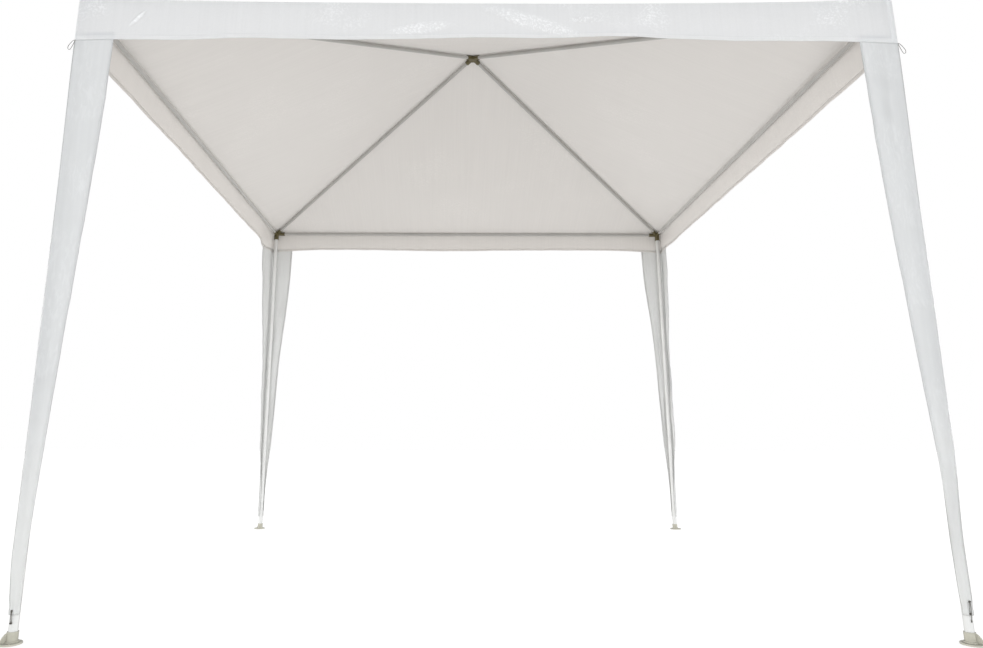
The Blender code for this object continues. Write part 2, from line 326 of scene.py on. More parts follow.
# Feet. Each leg stands in a round moulded plate with a stepped socket, a web on its outer
# side and two peg holes, in a warm stone grey plastic that has picked up a little dirt,
# with painted shade towards its outline.
STONE_GREY = (0.47, 0.455, 0.38)
DIRTY_GREY = (0.27, 0.25, 0.19)

# rim=0.55 paints shade towards the foot's outline.
foot_plastic = speckled_finish("stone_grey_plastic", STONE_GREY, DIRTY_GREY, 0.50, MOULD_DEPTH,
                               rim=0.55, Skin=1000.0, Blotch=55.0, Rub=0.60)
dress_nodes(("foot_plate",), foot_plastic)


# Roof sheet and valance. One cover of white laminated tape-weave sheet is pulled over
# the frame: four panels sewn along the rafters, folded down over the eave tubes, and
# ending in a hemmed valance.
SHEET_THICKNESS = 0.0009
SHEET_LIFT = 0.0020         # outside of the sheet above the frame's roof underside
SEE_THROUGH = 0.38
HIP_ROUNDING = 0.012
EAVE_ROUNDING = 0.009
PANEL_SAG = 0.014
SAG_SCALE = 6.75            # makes the sag's deepest place one whole panel sag
ROOF_WAVES = ((2.6, 1.7, 0.0024), (8.0, 4.9, 0.0009))      # to the metre, seed and height
TUBE_HUG = 0.0016
HIP_HUG_BREADTH = 0.07
HIP_HUG_PEAK, HIP_HUG_EAVE = (0.06, 0.16), (0.07, 0.17)     # where it starts, from each
HUG_START, HUG_END, TUCK_END = 0.02, 0.18, 0.30     # past a corner's sockets
LIFT_POWER = 2.2
EAVE_TUCKS = (0.003, 0.014, 0.010, 0.014)       # sheet drawn in to each side's tube
EAVE_LIFTS = (0.010, 0.003, 0.002, 0.003)       # and standing up on it at mid side
CORNER_LIFTS = (0.022, 0.029, 0.004, 0.003)
HEM_CORNER = 1.858
HEM_MIDDLES = (1.867, 1.871, 1.885, 1.873)
HEM_RIPPLES = (0.0010, 0.0024, 0.0016, 0.0028)
HEM_EVENNESS = (3, 8, 10, 8)        # power of the way to the corner, high for a level hem
HEM_WAVES = ((5.0, 2.3, 0.6), (15.0, 8.1, 1.0))
# Waves to the metre, seed and depth of the valance's waves, and how they change down it.
VALANCE_WAVES = ((1.9, 3.1, 0.0045, 0.0), (6.5, 5.7, 0.0030, 0.12), (21.0, 6.9, 0.0012, 0.05))
WAVE_END, WAVE_START = 0.11, 0.26       # in from a leg
WAVE_GROWTH, FLARE_GROWTH = 1.4, 1.5    # powers of the way down the valance
SIDE_SHIFT = 9.0            # keeps each side's waves its own
MAP_SHIFT = 4.0             # and its place on the map
# Where a side's hem rides up or sags: place along the side, rise and breadth.
HEM_RISES = (((0.42, 0.0105, 0.15), (-0.03, 0.0030, 0.18), (-0.45, -0.0045, 0.20),
              (0.86, -0.0040, 0.10), (-1.06, -0.0070, 0.14)), (), ((0.15, -0.0080, 0.50),), ())
HEM_OUT = 0.005
HEM_DEPTH = 0.013
HEM_LIP = 0.0008
COVER_FACE = 0.0260         # outside of a leg cover from the leg's axis, at the hem
COVER_FACE_MIDDLE = 0.0230  # halfway up
COVER_FACE_LOW = 0.0215     # and low down
HEM_GAP = 0.0019
HEM_GAP_CORNER = 0.0029     # with a leg cover's top between the hem's layers
COVER_TOP_REACH = (1.14, 1.24)      # where that starts along a side
HEM_BACK_ROWS = (0.0006, 0.0035, HEM_DEPTH * 0.6, HEM_DEPTH)
HEM_TURN = -0.0008
# Crush marks on the front valance, crumpled and with a painted highlight: place across and up,
# half length and height, lean, and how much whiter the painted highlight makes the sheet there.
CRUSH_MARKS = ((-0.225, 1.905, 0.115, 0.024, 9.0, 0.045), (0.160, 1.927, 0.195, 0.030, -19.0, 0.035),
               (-1.170, 1.938, 0.044, 0.009, 50.0, 0.160), (0.330, 1.940, 0.060, 0.014, 0.0, 0.0))
CRUSH_DEEP = 0.10
STREAK_SCALE = (90, 1.8, 1)
STREAK_TONES = (0.970, 1.016)
CELL_WARP = (0.05, 0.05, 0.05)      # bends the sides of the crumple's cells
RIDGE_WIDTHS = (0.055, 0.07)
# Painted highlights: how white the crumple's ridges and the white specks are painted.
RIDGE_PAINTED_HIGHLIGHT = 0.13
FLECK_PAINTED_GLINT = 0.22
MOTTLE = 0.016
TAPE_PITCH = 0.0018
TAPE_HEIGHT = 0.012
CRUMPLE_DEPTH = 0.004
LOW_WHITE = (0.95, 0.95, 0.93)
LOW_WHITE_HEIGHTS = (0.12, 0.75)
FALL_LENGTH = 0.132
PEAK_ROWS = (0.0, 0.006, 0.014, 0.026)
ROOF_START = 0.042
ROOF_ROWS = 40
FOLD_ROWS = 5
FALL_ROWS = 11
HEM_ROWS = 3
STRAIGHT_COLUMNS = 150
CORNER_COLUMNS = 3
SIDES = ("front", "right", "back", "left")
CORNERS = ("front_left", "front_right", "back_right", "back_left")
FLARE_START, FLARE_END = (0.01, 0.13), (0.12, 0.36)     # from a corner
# How far the hem stands out beside each corner, on the side to its right and to its left.
HEM_FLARES = {"front_left": (0.004, 0.004), "front_right": (0.003, 0.004),
              "back_right": (0.012, -0.003), "back_left": (0.038, 0.012)}
# Inside skins warmer than outside: partly the sheet's creamier inner side, partly painted warm light.
SHEET_SKIN = (0.765, 0.775, 0.79)
SHEET_INNER_SKIN = (0.80, 0.775, 0.75)
HEM_SKIN = (0.86, 0.87, 0.88)
HEM_INNER_SKIN = (0.90, 0.875, 0.85)


def middle(node):
    low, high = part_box(node)
    return (low + high) / 2


leg_out = middle("leg_lower_back_right").x
rafter_low = middle("rafter_lower_front_left")
rafter_high = middle("rafter_upper_front_left")
roof_slope = (rafter_high.z - rafter_low.z) / (rafter_high.x - rafter_low.x)
panel_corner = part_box("roof_panel_front")[0]
sheet_out = -panel_corner.y
connector_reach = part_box("corner_connector_front_left")[1].x + leg_out


def ease(value, start, end):
    """Goes smoothly from 0 at start to 1 at end."""
    share = min(max((value - start) / (end - start), 0.0), 1.0)
    return share * share * (3 - 2 * share)


def spaced(start, end, count):
    """Even steps from a start to an end, with both."""
    return [start + (end - start) * i / count for i in range(count + 1)]


def bell(value, centre, breadth):
    """1 at a centre, and falling to 0 on both sides of it."""
    return math.exp(-((value - centre) / breadth) ** 2)


def quarter(k):
    """A turn in plan from the front side or the front left corner to another."""
    return Matrix.Rotation(math.tau * k / 4, 2)


def ripple(place, waves, seed):
    """Smooth noise from about -1 to 1, with so many waves to the metre."""
    return noise.noise(Vector(place) * waves + Vector((seed, 0.7 * seed, 1.3 * seed)))


def rippled(place, waves):
    """Several ripples, each with its waves to the metre, seed and height."""
    return sum(ripple(place, many, seed) * height for many, seed, height in waves)


def roof_height(distance):
    """Outside of the flat panel at a distance from the tent's middle."""
    return panel_corner.z + SHEET_LIFT + roof_slope * (sheet_out - distance)


def side_line(distance, station, rounding):
    """A place on the front side's line at a distance from the middle. Stations -1 to 1 run
    along the straight, and on to -2 and 2 round half of each corner."""
    straight = distance - rounding
    way = math.copysign(1, station)
    turn = max(abs(station) - 1, 0) * math.pi / 4
    level = way * min(abs(station), 1) * straight
    out = Vector((way * math.sin(turn), -math.cos(turn)))
    return Vector((level, -straight)) + out * rounding, level + way * rounding * turn, out


def past_sockets(along, start, end):
    """Whether a place along the eave is clear of the corner's sockets, from 0 to 1."""
    return ease(leg_out - abs(along), connector_reach + start, connector_reach + end)


def eave_hug(along):
    """The sheet lies down on the eave tube away from the corners."""
    return TUBE_HUG * past_sockets(along, HUG_START, HUG_END)


def eave_lift(side, along):
    """The sheet stands up a little over the eave, most over a corner."""
    corner = CORNER_LIFTS[(side + (along >= 0)) % 4]
    across = min(abs(along) / leg_out, 1.0)
    return EAVE_LIFTS[side] + (corner - EAVE_LIFTS[side]) * across ** LIFT_POWER


def roof_drop(distance, along):
    """The sheet sags between the rafters and lies down on the tubes."""
    down = min(distance / leg_out, 1.0)
    across = min(abs(along) / max(distance, 0.001), 1.0)
    sag = PANEL_SAG * SAG_SCALE * down * down * (1 - down) * (1 - across * across)
    clear = ease(distance, *HIP_HUG_PEAK) * ease(leg_out - distance, *HIP_HUG_EAVE)
    hip = TUBE_HUG * clear * bell(distance, abs(along), HIP_HUG_BREADTH)
    return sag + hip + eave_hug(along) * ease(distance, leg_out - 0.16, leg_out - 0.01)


fold_start = math.atan(roof_slope)
fold_centre_out = sheet_out - EAVE_ROUNDING
roof_end = fold_centre_out + EAVE_ROUNDING * math.sin(fold_start)
fold_centre_height = roof_height(roof_end) - EAVE_ROUNDING * math.cos(fold_start)


def hem_height(side, along):
    """Height of the valance's lower edge, a little higher at mid side and rippled."""
    across = min(abs(along) / sheet_out, 1.0)
    wavy = rippled((along, side * SIDE_SHIFT, 0), HEM_WAVES)
    rise = sum(rise * bell(along, centre, breadth) for centre, rise, breadth in HEM_RISES[side])
    return (HEM_CORNER + (HEM_MIDDLES[side] - HEM_CORNER) * (1 - across ** HEM_EVENNESS[side])
            + HEM_RIPPLES[side] * wavy * (1 - across ** 6) + rise)


def corner_flare(corner, wing, reach):
    """How far the cloth at a corner's hem stands out, at a reach along a wing of its cover."""
    return HEM_FLARES[corner][wing] * ease(reach, *FLARE_START) * (1 - ease(reach, *FLARE_END))


def hem_flare(side, along):
    corner = CORNERS[(side + (along >= 0)) % 4]
    return corner_flare(corner, int(along >= 0), leg_out + COVER_FACE - abs(along))


def valance_wave(side, along, share):
    """How far the valance stands out: slow waves that grow towards the hem."""
    ends = 1 - ease(abs(along), leg_out - WAVE_START, leg_out - WAVE_END)
    slow, quick, pucker = (ripple((along, side * SIDE_SHIFT, share * change), many, seed) * depth
                           for many, seed, depth, change in VALANCE_WAVES)
    return (ends * share ** WAVE_GROWTH * (slow + quick + pucker * ease(share, 0.5, 1.0) + HEM_OUT)
            + hem_flare(side, along) * share ** FLARE_GROWTH)


def hem_inset(along, inset):
    """The hem's fold back lies deeper where a leg cover's top is sewn in."""
    return inset + (HEM_GAP_CORNER - HEM_GAP) * min(inset / HEM_GAP, 1) * ease(abs(along), *COVER_TOP_REACH)


def row_distance(part, value):
    """Distance of a row of the cover from the tent's middle, before it is drawn in."""
    if part == "fold":
        return fold_centre_out + EAVE_ROUNDING * math.sin(value)
    return value if part == "roof" else sheet_out


def canopy_point(side, station, part, value, inset=0.0):
    """A place on the outside of the cover, and its length of cloth from the peak."""
    distance = row_distance(part, value)
    rounding = min(HIP_ROUNDING, 0.35 * distance)
    plan, along, out = side_line(distance, station, rounding)
    slant = math.hypot(1, roof_slope)
    edge = ease(distance, leg_out - 0.06, fold_centre_out)
    hung = value if part == "fall" else 0.0
    tuck = EAVE_TUCKS[side] * past_sockets(along, 0.0, TUCK_END)
    plan = plan - out * tuck * edge * (1 - hung)
    rise = eave_lift(side, along) * edge
    if part == "roof":
        height = roof_height(distance) - roof_drop(distance, along) + rise
        fade = ease(distance, 0.0, 0.3) * ease(leg_out - distance, -0.02, 0.12)
        here = Vector((plan.x, plan.y, side * 5.0 * (1 - ease(abs(station), 0.9, 1.0))))
        calm = 1 - ease(abs(station), 0.93, 1.0)
        height += fade * calm * rippled(here, ROOF_WAVES)
        run = distance * slant
    elif part == "fold":
        height = fold_centre_height + EAVE_ROUNDING * math.cos(value) - eave_hug(along) + rise
        run = fold_centre_out * slant + EAVE_ROUNDING * (value - fold_start)
    else:
        top = fold_centre_height - eave_hug(along) + rise
        low = hem_height(side, along)
        height = top + (low - top) * value
        plan = plan + out * (valance_wave(side, along, value) - hem_inset(along, inset))
        run = sheet_out * slant + (top - low) * (2 - value if inset else value)
    return Vector((*(quarter(side) @ plan), height)), (along + MAP_SHIFT * side, run)


def hem_share(up):
    """Share of the valance's fall at a height above the hem."""
    return 1 - up / FALL_LENGTH


def canopy_rows():
    """Rows of the cover from the peak down to the hem's fold back, each with the number of
    the finish on the strip above it."""
    panel = [("roof", distance) for distance in (*PEAK_ROWS, *spaced(ROOF_START, roof_end, ROOF_ROWS))]
    panel += [("fold", turn) for turn in spaced(fold_start, math.pi / 2, FOLD_ROWS)[1:]]
    panel += [("fall", share) for share in spaced(0.0, hem_share(HEM_DEPTH), FALL_ROWS)[1:]]
    band = [("fall", hem_share(up))
            for up in (*spaced(HEM_DEPTH, 0.0, HEM_ROWS)[1:-1], HEM_LIP, 0.0)]
    band.append(("fall", hem_share(HEM_TURN), HEM_GAP * 0.5))
    back = [("fall", hem_share(up), HEM_GAP) for up in HEM_BACK_ROWS]
    return [(row, finish) for finish, part in ((0, panel), (2, band), (4, back)) for row in part]


def add_grid(bm, grid, finish_at=lambda row, column: 0):
    """Adds rows of (place, cut) as faces, with the cut as their map. finish_at gives the
    number of a face's finish from its row and column."""
    cut_map = bm.loops.layers.uv.get("cut") or bm.loops.layers.uv.new("cut")
    verts = [[bm.verts.new(place) for place, _ in row] for row in grid]
    for i in range(len(grid) - 1):
        for j in range(len(grid[0]) - 1):
            corners = ((i, j), (i + 1, j), (i + 1, j + 1), (i, j + 1))
            face = bm.faces.new([verts[r][c] for r, c in corners])
            face.smooth = True
            face.material_index = finish_at(i, j)
            for loop, (r, c) in zip(face.loops, corners):
                loop[cut_map].uv = grid[r][c][1]


def cloth_piece(name, grids, finishes, finish_at):
    """A sheet made of grids joined where they meet, with its thickness given inwards. The
    finishes are in pairs, the outside's and then the inside's."""
    bm = bmesh.new()
    for grid in grids:
        add_grid(bm, grid, finish_at)
    bmesh.ops.remove_doubles(bm, verts=bm.verts, dist=0.00003)
    piece = mesh_object(name, bm, *finishes)
    thick = piece.modifiers.new("thickness", "SOLIDIFY")
    thick.thickness = SHEET_THICKNESS
    thick.offset = -1
    thick.material_offset = 1
    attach(piece, "root")
    return piece


def woven_sheet():
    """Shared by all the sheet: tapes over and under, streaks, patches of crumple, and marks
    where the front valance was crushed in its bag. Painted highlights whiten the crumple's
    ridges, white specks and the crush marks."""
    net, source = shader_group("woven_sheet", {
        "Cut": None, "Place": None, "Crumple": 1.0, "Patches": 4.0, "Cells": 17.0, "Calm": 0.50,
        "Upright": 1.0, "Fleck": 1.0}, ("Height", "Tone", "Creased"))
    cut, place = source["Cut"], source["Place"]

    def maths(operation, first, second=0.0):
        return net.add("Math", {0: first, 1: second}, operation=operation)[0]

    def plus(first, second):
        return maths("ADD", first, second)

    def times(first, second):
        return maths("MULTIPLY", first, second)

    over = net.add("TexChecker", {"Vector": cut, "Scale": 1 / TAPE_PITCH, "Color1": WHITE,
                                  "Color2": (0, 0, 0, 1)})["Fac"]
    waves = {"Vector": cut, "Scale": math.pi / 10 / TAPE_PITCH}
    across, down = (net.add("TexWave", waves, bands_direction=way)["Fac"] for way in "XY")
    tapes = net.add("Mix", {0: over, 2: across, 3: down})[0]
    stretched = net.add("Mapping", {"Vector": cut, "Scale": STREAK_SCALE})[0]
    streaked = net.ranged(net.noise(stretched, 1.0, 4.0)[0], 0.3, 0.7, *STREAK_TONES)
    crushed = net.ranged(net.noise(place, source["Patches"], 2.0)[0], source["Calm"],
                         plus(source["Calm"], 0.15), smooth=True)
    # Each crush mark crumples the sheet and whitens it with a painted highlight.
    painted_crush_highlights = 0.0
    for place_x, place_z, half_long, half_high, lean, whiter in CRUSH_MARKS:
        mark = net.add("Mapping", {
            "Vector": place, "Location": (place_x, -sheet_out, place_z),
            "Rotation": (0, -math.radians(lean), 0), "Scale": (half_long, CRUSH_DEEP, half_high)},
            vector_type="TEXTURE")[0]
        away = net.add("VectorMath", {0: mark}, operation="LENGTH")["Value"]
        inside = net.ranged(away, 0.55, 1.1, 1.0, 0.0, smooth=True)
        crushed = maths("MAXIMUM", crushed, inside)
        painted_crush_highlights = plus(times(inside, whiter), painted_crush_highlights)
    bent = net.add("VectorMath", {0: net.noise(place, 7.0, 1.0)["Color"], 1: CELL_WARP, 2: place},
                   operation="MULTIPLY_ADD")[0]
    axes = net.add("SeparateXYZ", {0: bent})
    long_way = net.add("CombineXYZ", {"X": axes["X"], "Y": axes["Y"],
                                      "Z": maths("DIVIDE", axes["Z"], source["Upright"])})[0]
    wide, narrow = (net.add("TexVoronoi", {"Vector": long_way, "Scale": scale},
                            feature="DISTANCE_TO_EDGE")["Distance"]
                    for scale in (source["Cells"], times(source["Cells"], 2.4)))
    folds = plus(maths("MINIMUM", wide, 0.30), times(maths("MINIMUM", narrow, 0.35), 0.25))
    crumple = times(plus(folds, net.noise(long_way, 10.0, 1.0)[0]),
                    times(crushed, source["Crumple"]))
    # Painted highlights: white lines along some crumple ridges and white specks where the sheet is
    # crumpled; the mottle is random tone.
    some = net.ranged(net.noise(place, 16.0, 1.0)[0], 0.54, 0.66, smooth=True)
    wide_ridge, narrow_ridge = (net.ranged(cell, 0.0, width, 1.0, 0.0, smooth=True)
                                for cell, width in zip((wide, narrow), RIDGE_WIDTHS))
    lines = times(plus(wide_ridge, times(narrow_ridge, 0.4)), times(some, RIDGE_PAINTED_HIGHLIGHT))
    crackle = net.noise(long_way, 125.0, 2.0, 0.6)[0]
    painted_glints = net.ranged(crackle, 0.51, 0.60, 0.0, FLECK_PAINTED_GLINT)
    mottle = net.ranged(crackle, 0.3, 0.7, -MOTTLE, MOTTLE)
    painted_crease_highlights = times(plus(lines, painted_glints), crushed)
    painted_highlights_and_mottle = times(plus(plus(painted_crease_highlights, painted_crush_highlights), mottle), source["Fleck"])
    # Tone carries the streaks, the mottle and the painted highlights.
    net.node("NodeGroupOutput", {"Height": plus(crumple, times(tapes, TAPE_HEIGHT)),
                                 "Tone": plus(streaked, painted_highlights_and_mottle), "Creased": crushed})
    return net.tree


def sheet_finish(name, colour, glow, gloss=0.30, through_share=SEE_THROUGH, low_white=0.0,
                 rim=0.0, **weave_values):
    """Laminated tape-weave sheet: a satin skin that lets some light through. low_white
    makes it whiter towards the floor, where a cover is gathered to several layers, and rim
    is painted shade that makes it darker by a share where it turns away from the view."""
    material, net = plain_finish(name, 0.40)
    place = net.add("TexCoord")["Object"]
    weave = net.add("Group", {"Cut": net.add("UVMap", uv_map="cut")[0], "Place": place,
                              **weave_values}, node_tree=weave_group)
    low = net.ranged(net.add("SeparateXYZ", {0: place})["Z"], *LOW_WHITE_HEIGHTS, low_white, 0.0)
    whiter = net.mixed(low, net.tinted((*colour, 1), weave["Tone"]), (*LOW_WHITE, 1))
    # Painted shade towards the outline, on the skin and on the light let through.
    shade = net.painted_rim_shade(0.5, rim)
    net.set("Base Color", net.tinted(whiter, shade))
    net.set("Roughness", net.ranged(weave["Creased"], 0.0, 1.0, 0.44, 0.30))
    net.set("Coat Weight", gloss)
    net.set("Coat Roughness", 0.14)
    net.relief(weave["Height"], 0.6, CRUMPLE_DEPTH)
    through = net.add("BsdfTranslucent", {"Color": net.tinted((*glow, 1), shade)})[0]
    net.surface(net.add("MixShader", {0: through_share, 1: net.shader.outputs[0], 2: through})[0])
    return material


weave_group = woven_sheet()
sheet_outside = sheet_finish("white_sheet_outside", SHEET_SKIN, (0.86, 0.86, 0.85),
                             Crumple=1.5, Calm=0.57)
# The inside's warmer glow is partly painted warm light as well.
sheet_inside = sheet_finish("white_sheet_inside", SHEET_INNER_SKIN, (0.88, 0.84, 0.80), 0.10,
                            Crumple=0.5, Patches=3.0, Fleck=0.25)
hem_outside = sheet_finish("white_hem_outside", HEM_SKIN, (0.88, 0.88, 0.87),
                           Crumple=1.2, Calm=0.55, Fleck=0.5)
hem_inside = sheet_finish("white_hem_inside", HEM_INNER_SKIN, (0.92, 0.89, 0.86), 0.10, 0.34,
                          Crumple=0.8, Patches=3.0, Fleck=0.25)

rows, row_finishes = zip(*canopy_rows())
round_corner = spaced(1, 2, CORNER_COLUMNS)[1:]
stations = [-s for s in reversed(round_corner)] + spaced(-1, 1, STRAIGHT_COLUMNS) + round_corner
canopy = cloth_piece("canopy", [[[canopy_point(side, station, *row) for station in stations]
                                 for row in rows] for side in range(4)],
                     (sheet_outside, sheet_inside, hem_outside, sheet_inside, hem_inside,
                      sheet_inside), lambda row, _: row_finishes[row + 1])
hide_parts(*[f"{part}_{side}" for part in ("roof_panel", "valance") for side in SIDES])


# Leg covers. Each corner of the valance carries a tapering sleeve of the same sheet,
# two wings at a right angle round the outside of the leg, gathered at its foot.
COVER_WIDTHS = ((0.078, 0.034), (0.22, 0.041), (0.52, 0.055), (0.80, 0.070), (1.00, 0.084),
                (1.24, 0.099), (1.50, 0.117), (1.70, 0.129), (1.99, 0.136))
COVER_ROUNDING = 0.009
COVER_FLUSH = 0.0009        # out from between the hem's layers, below them
COVER_HEM = 0.009
COVER_STITCH = 0.0070       # from a wing's edge
COVER_THREAD_TOP = HEM_CORNER - 0.003
COVER_ABOVE_HEM = 0.026
FACE_RISES = ((0.6, 1.0), (1.25, 1.80))     # heights where its face comes out to the hem's
FREE_START, FREE_END = (0.25, 0.70), (1.655, 1.875)     # of the folds
SWING_START = (0.75, 1.86)
WRAP_RADIUS = 0.0168
GATHER_RADIUS = 0.0153
GATHER_END = (0.095, 0.125)
GATHER, GATHER_BITE = (0.098, 0.012), 0.0005        # height and breadth, and depth
CHANNEL, CHANNEL_BULGE = (0.087, 0.0055), 0.0008    # rolled hem with the drawcord in it
# Folds, finer folds and dents: waves to the metre, shift of the seed, depth, and change
# with height.
COVER_WAVES = ((16.0, 0, 0.0065, 0.16), (9.0, 3, 0.0035, 0.5), (21.0, 9, 0.0022, 0.8))
FOLD_SPREAD = 0.10
PLEAT_DEPTH = 0.0008
PLEAT_PITCH = 0.0026
PLEAT_END = (0.12, 0.26)
HEM_FINE_ROWS = 26
HEM_ROWS_LOW = 1.850
FINE_ROWS = 30
FINE_TOP = 0.150
COVER_ROWS = 120
WING_COLUMNS = 15
BEND_COLUMNS = 5
BEND_SHARE = 0.10
COVER_BACK_STEPS = (0.0003, COVER_HEM * 0.5, COVER_HEM)
COVER_SKIN = (0.725, 0.73, 0.735)
COVER_INNER_SKIN = (0.78, 0.78, 0.77)
COVER_HEM_SKIN = (0.80, 0.80, 0.79)
COVER_WEAVE = {"low_white": 0.5, "Patches": 5.0, "Cells": 20.0, "Calm": 0.46, "Upright": 4.0,
               "Fleck": 0.25}
# Seed of the folds, their depth, how many there are, where the wrapped foot opens out, and
# by what share a wing hangs narrower, about which height and over which breadth.
COVER_LOOKS = {"front_left": (11.0, 0.9, 1.0, 0.07, 0.24, 0.0, 1.0, 1.0),
               "front_right": (17.0, 0.9, 1.0, 0.26, 0.56, -0.04, 1.0, 0.3),
               "back_right": (23.0, 1.7, 1.9, 0.08, 0.60, 0.15, 1.12, 0.40),
               "back_left": (31.0, 1.7, 1.6, 0.08, 0.56, 0.10, 1.04, 0.24)}


def cover_width(height):
    """Width of one wing, read from the cut with its straight runs rounded off."""
    for (low, narrow), (high, wide) in zip(COVER_WIDTHS, COVER_WIDTHS[1:]):
        if height <= high:
            return narrow + (wide - narrow) * (height - low) / (high - low)
    return COVER_WIDTHS[-1][1]


def cover_point(height, share, corner, fold_back=0.0):
    """Outside of the cover round a leg at the plan's origin, whose outer corner points to
    -X and -Y. Shares 0 to 1 run from the corner to the end of the wing along +X, and
    0 to -1 to the end of the wing along +Y."""
    seed, depth, many, wrap_end, wrap_start, narrower, narrow_height, breadth = COVER_LOOKS[corner]
    width = sum(cover_width(height + shift) for shift in (-0.05, 0.0, 0.05)) / 3
    width *= 1 - narrower * bell(height, narrow_height, breadth)
    way = math.copysign(1, share)
    reach, inset = (width - fold_back, HEM_GAP) if fold_back else (abs(share) * width, 0.0)
    face = (COVER_FACE_LOW + (COVER_FACE_MIDDLE - COVER_FACE_LOW) * ease(height, *FACE_RISES[0])
            + (COVER_FACE - COVER_FACE_MIDDLE) * ease(height, *FACE_RISES[1]))
    turn = math.pi / 4 - reach / COVER_ROUNDING
    flat = Vector((max(-turn, 0) - math.sin(max(turn, 0)), -math.cos(max(turn, 0)))) * COVER_ROUNDING
    flat += Vector((COVER_ROUNDING - face, COVER_ROUNDING - face))
    open_share = min(reach / width, 1.0)
    seed += 7.0 * (way > 0)
    hang = ease(height, *FREE_START) * (1 - ease(height, *FREE_END))
    spread = open_share * FOLD_SPREAD * many
    folds, finer, dents = (ripple((across, height * change, 0), waves, seed + shift) * deep
                           for across, (waves, shift, deep, change)
                           in zip((spread, spread, reach), COVER_WAVES))
    side = (CORNERS.index(corner) - (way < 0)) % 4
    hem = hem_height(side, -way * (leg_out + COVER_FACE - reach))
    flush = COVER_FLUSH * ease(height, hem - 0.30, hem - 0.02)
    flush *= 1 - ease(height, hem - 0.0040, hem - 0.0008)
    swing = corner_flare(corner, int(way < 0), reach) * ease(height, *SWING_START) + flush
    flat.y -= hang * ((folds + finer) * depth * ease(open_share, 0.08, 0.5)
                      + dents * ease(open_share, 0.05, 0.3)) + swing - inset
    radius = GATHER_RADIUS + (WRAP_RADIUS - GATHER_RADIUS) * ease(height, *GATHER_END)
    radius += CHANNEL_BULGE * bell(height, *CHANNEL) - GATHER_BITE * bell(height, *GATHER)
    pleats = PLEAT_DEPTH * (1 - ease(height, *PLEAT_END)) * math.cos(reach / PLEAT_PITCH + seed)
    angle = math.radians(225) + reach / WRAP_RADIUS
    radius += pleats - inset * 0.9
    wrapped = Vector((radius * math.cos(angle), radius * math.sin(angle)))
    place = wrapped.lerp(flat, ease(height, wrap_end, wrap_start))
    if way < 0:
        place = Vector((place.y, place.x))
    return place, way * (reach + 2 * fold_back)


def cover_place(k, height, share, back=0.0):
    """A place on a leg's cover where it stands, and its cut."""
    place, cut = cover_point(height, share, CORNERS[k], back)
    plan = quarter(k) @ (Vector((-leg_out, -leg_out)) + place)
    return Vector((*plan, height)), (cut, height)


def leg_cover(k, corner):
    steps = [(-share, back) for share, back in reversed(wing_steps)] + wing_steps[1:]
    grid = [[cover_place(k, height, *step) for step in steps] for height in cover_rows]
    piece = cloth_piece(f"cover_sheet_{corner}", [grid],
                        (cover_outside, cover_inside, cover_hem, cover_hem),
                        lambda _, column: 2 if column < 2 or column > len(steps) - 4 else 0)
    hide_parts(f"leg_cover_{corner}")
    return piece


# The covers' rim=0.62 paints shade where they turn away from the view.
cover_outside = sheet_finish("leg_cover_outside", COVER_SKIN, (0.86, 0.87, 0.87), 0.35,
                             low_white=0.85, rim=0.62, Crumple=1.3, Patches=6.0, Cells=24.0,
                             Calm=0.43, Upright=4.0, Fleck=0.28)
cover_inside = sheet_finish("leg_cover_inside", COVER_INNER_SKIN, (0.87, 0.87, 0.85), 0.15,
                            **COVER_WEAVE)
cover_hem = sheet_finish("leg_cover_hem", COVER_HEM_SKIN, (0.94, 0.94, 0.93), 0.15, 0.62,
                         **COVER_WEAVE)
cover_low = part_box("leg_cover_front_left")[0].z
cover_top = HEM_CORNER + COVER_ABOVE_HEM
# Rows from the top down, close together at the hem and round the gathered foot, and steps
# from the corner's middle out to the end of a wing and back for its hem.
cover_rows = (spaced(cover_top, HEM_ROWS_LOW, HEM_FINE_ROWS)[:-1]
              + spaced(HEM_ROWS_LOW, FINE_TOP, COVER_ROWS)[:-1]
              + spaced(FINE_TOP, cover_low, FINE_ROWS))
wing_steps = [(share, 0.0) for share in spaced(0.0, BEND_SHARE, BEND_COLUMNS)[:-1]
              + spaced(BEND_SHARE, 1.0, WING_COLUMNS)] + [(1.0, back) for back in COVER_BACK_STEPS]
covers = [leg_cover(k, corner) for k, corner in enumerate(CORNERS)]


# Seams and stitches. A flat felled seam runs down each rafter and corner on the outside,
# and white thread holds it, the valance's hem and the hems of the leg covers.
SEAM_PROFILE = ((0.0012, -0.0003), (0.0026, 0.0009), (0.0070, 0.0012), (0.0120, 0.0010),
                (0.0136, -0.0003))
SEAM_STITCH_ROWS = (0.0045, 0.0105)
SEAM_START = 0.060
HEM_STITCH = 0.0105
STITCH_PITCH = 0.0055
STITCH_LONG = 0.0038
STITCH_WIDE = 0.0007
STITCH_TALL = 0.0004
SEAM_THREAD_LIFT = 0.0012
HEM_THREAD_LIFT = 0.0001
# A stitch's corners as shares of its length, width and height, and its faces.
STITCH_CORNERS = ([(reach, x, z) for reach in (-0.30, 0.30)
                   for x, z in ((-0.5, 0.0), (0.0, 1.0), (0.5, 0.0), (0.0, -0.6))]
                  + [(-0.5, 0.0, -0.7), (0.5, 0.0, -0.7)])
STITCH_FACES = [face for i, j in ((0, 1), (1, 2), (2, 3), (3, 0))
                for face in ((i, j, 4 + j, 4 + i), (8, j, i), (9, 4 + i, 4 + j))]
SEAM_MAP_STEP = 0.033
STRAND_DEPTH = 0.0003


def facing(here, aside, ahead, away):
    """The way square to a surface through two lines on it, on the side that faces away."""
    out = aside.cross(ahead).normalized()
    return here, out if out.dot(away) > 0 else -out


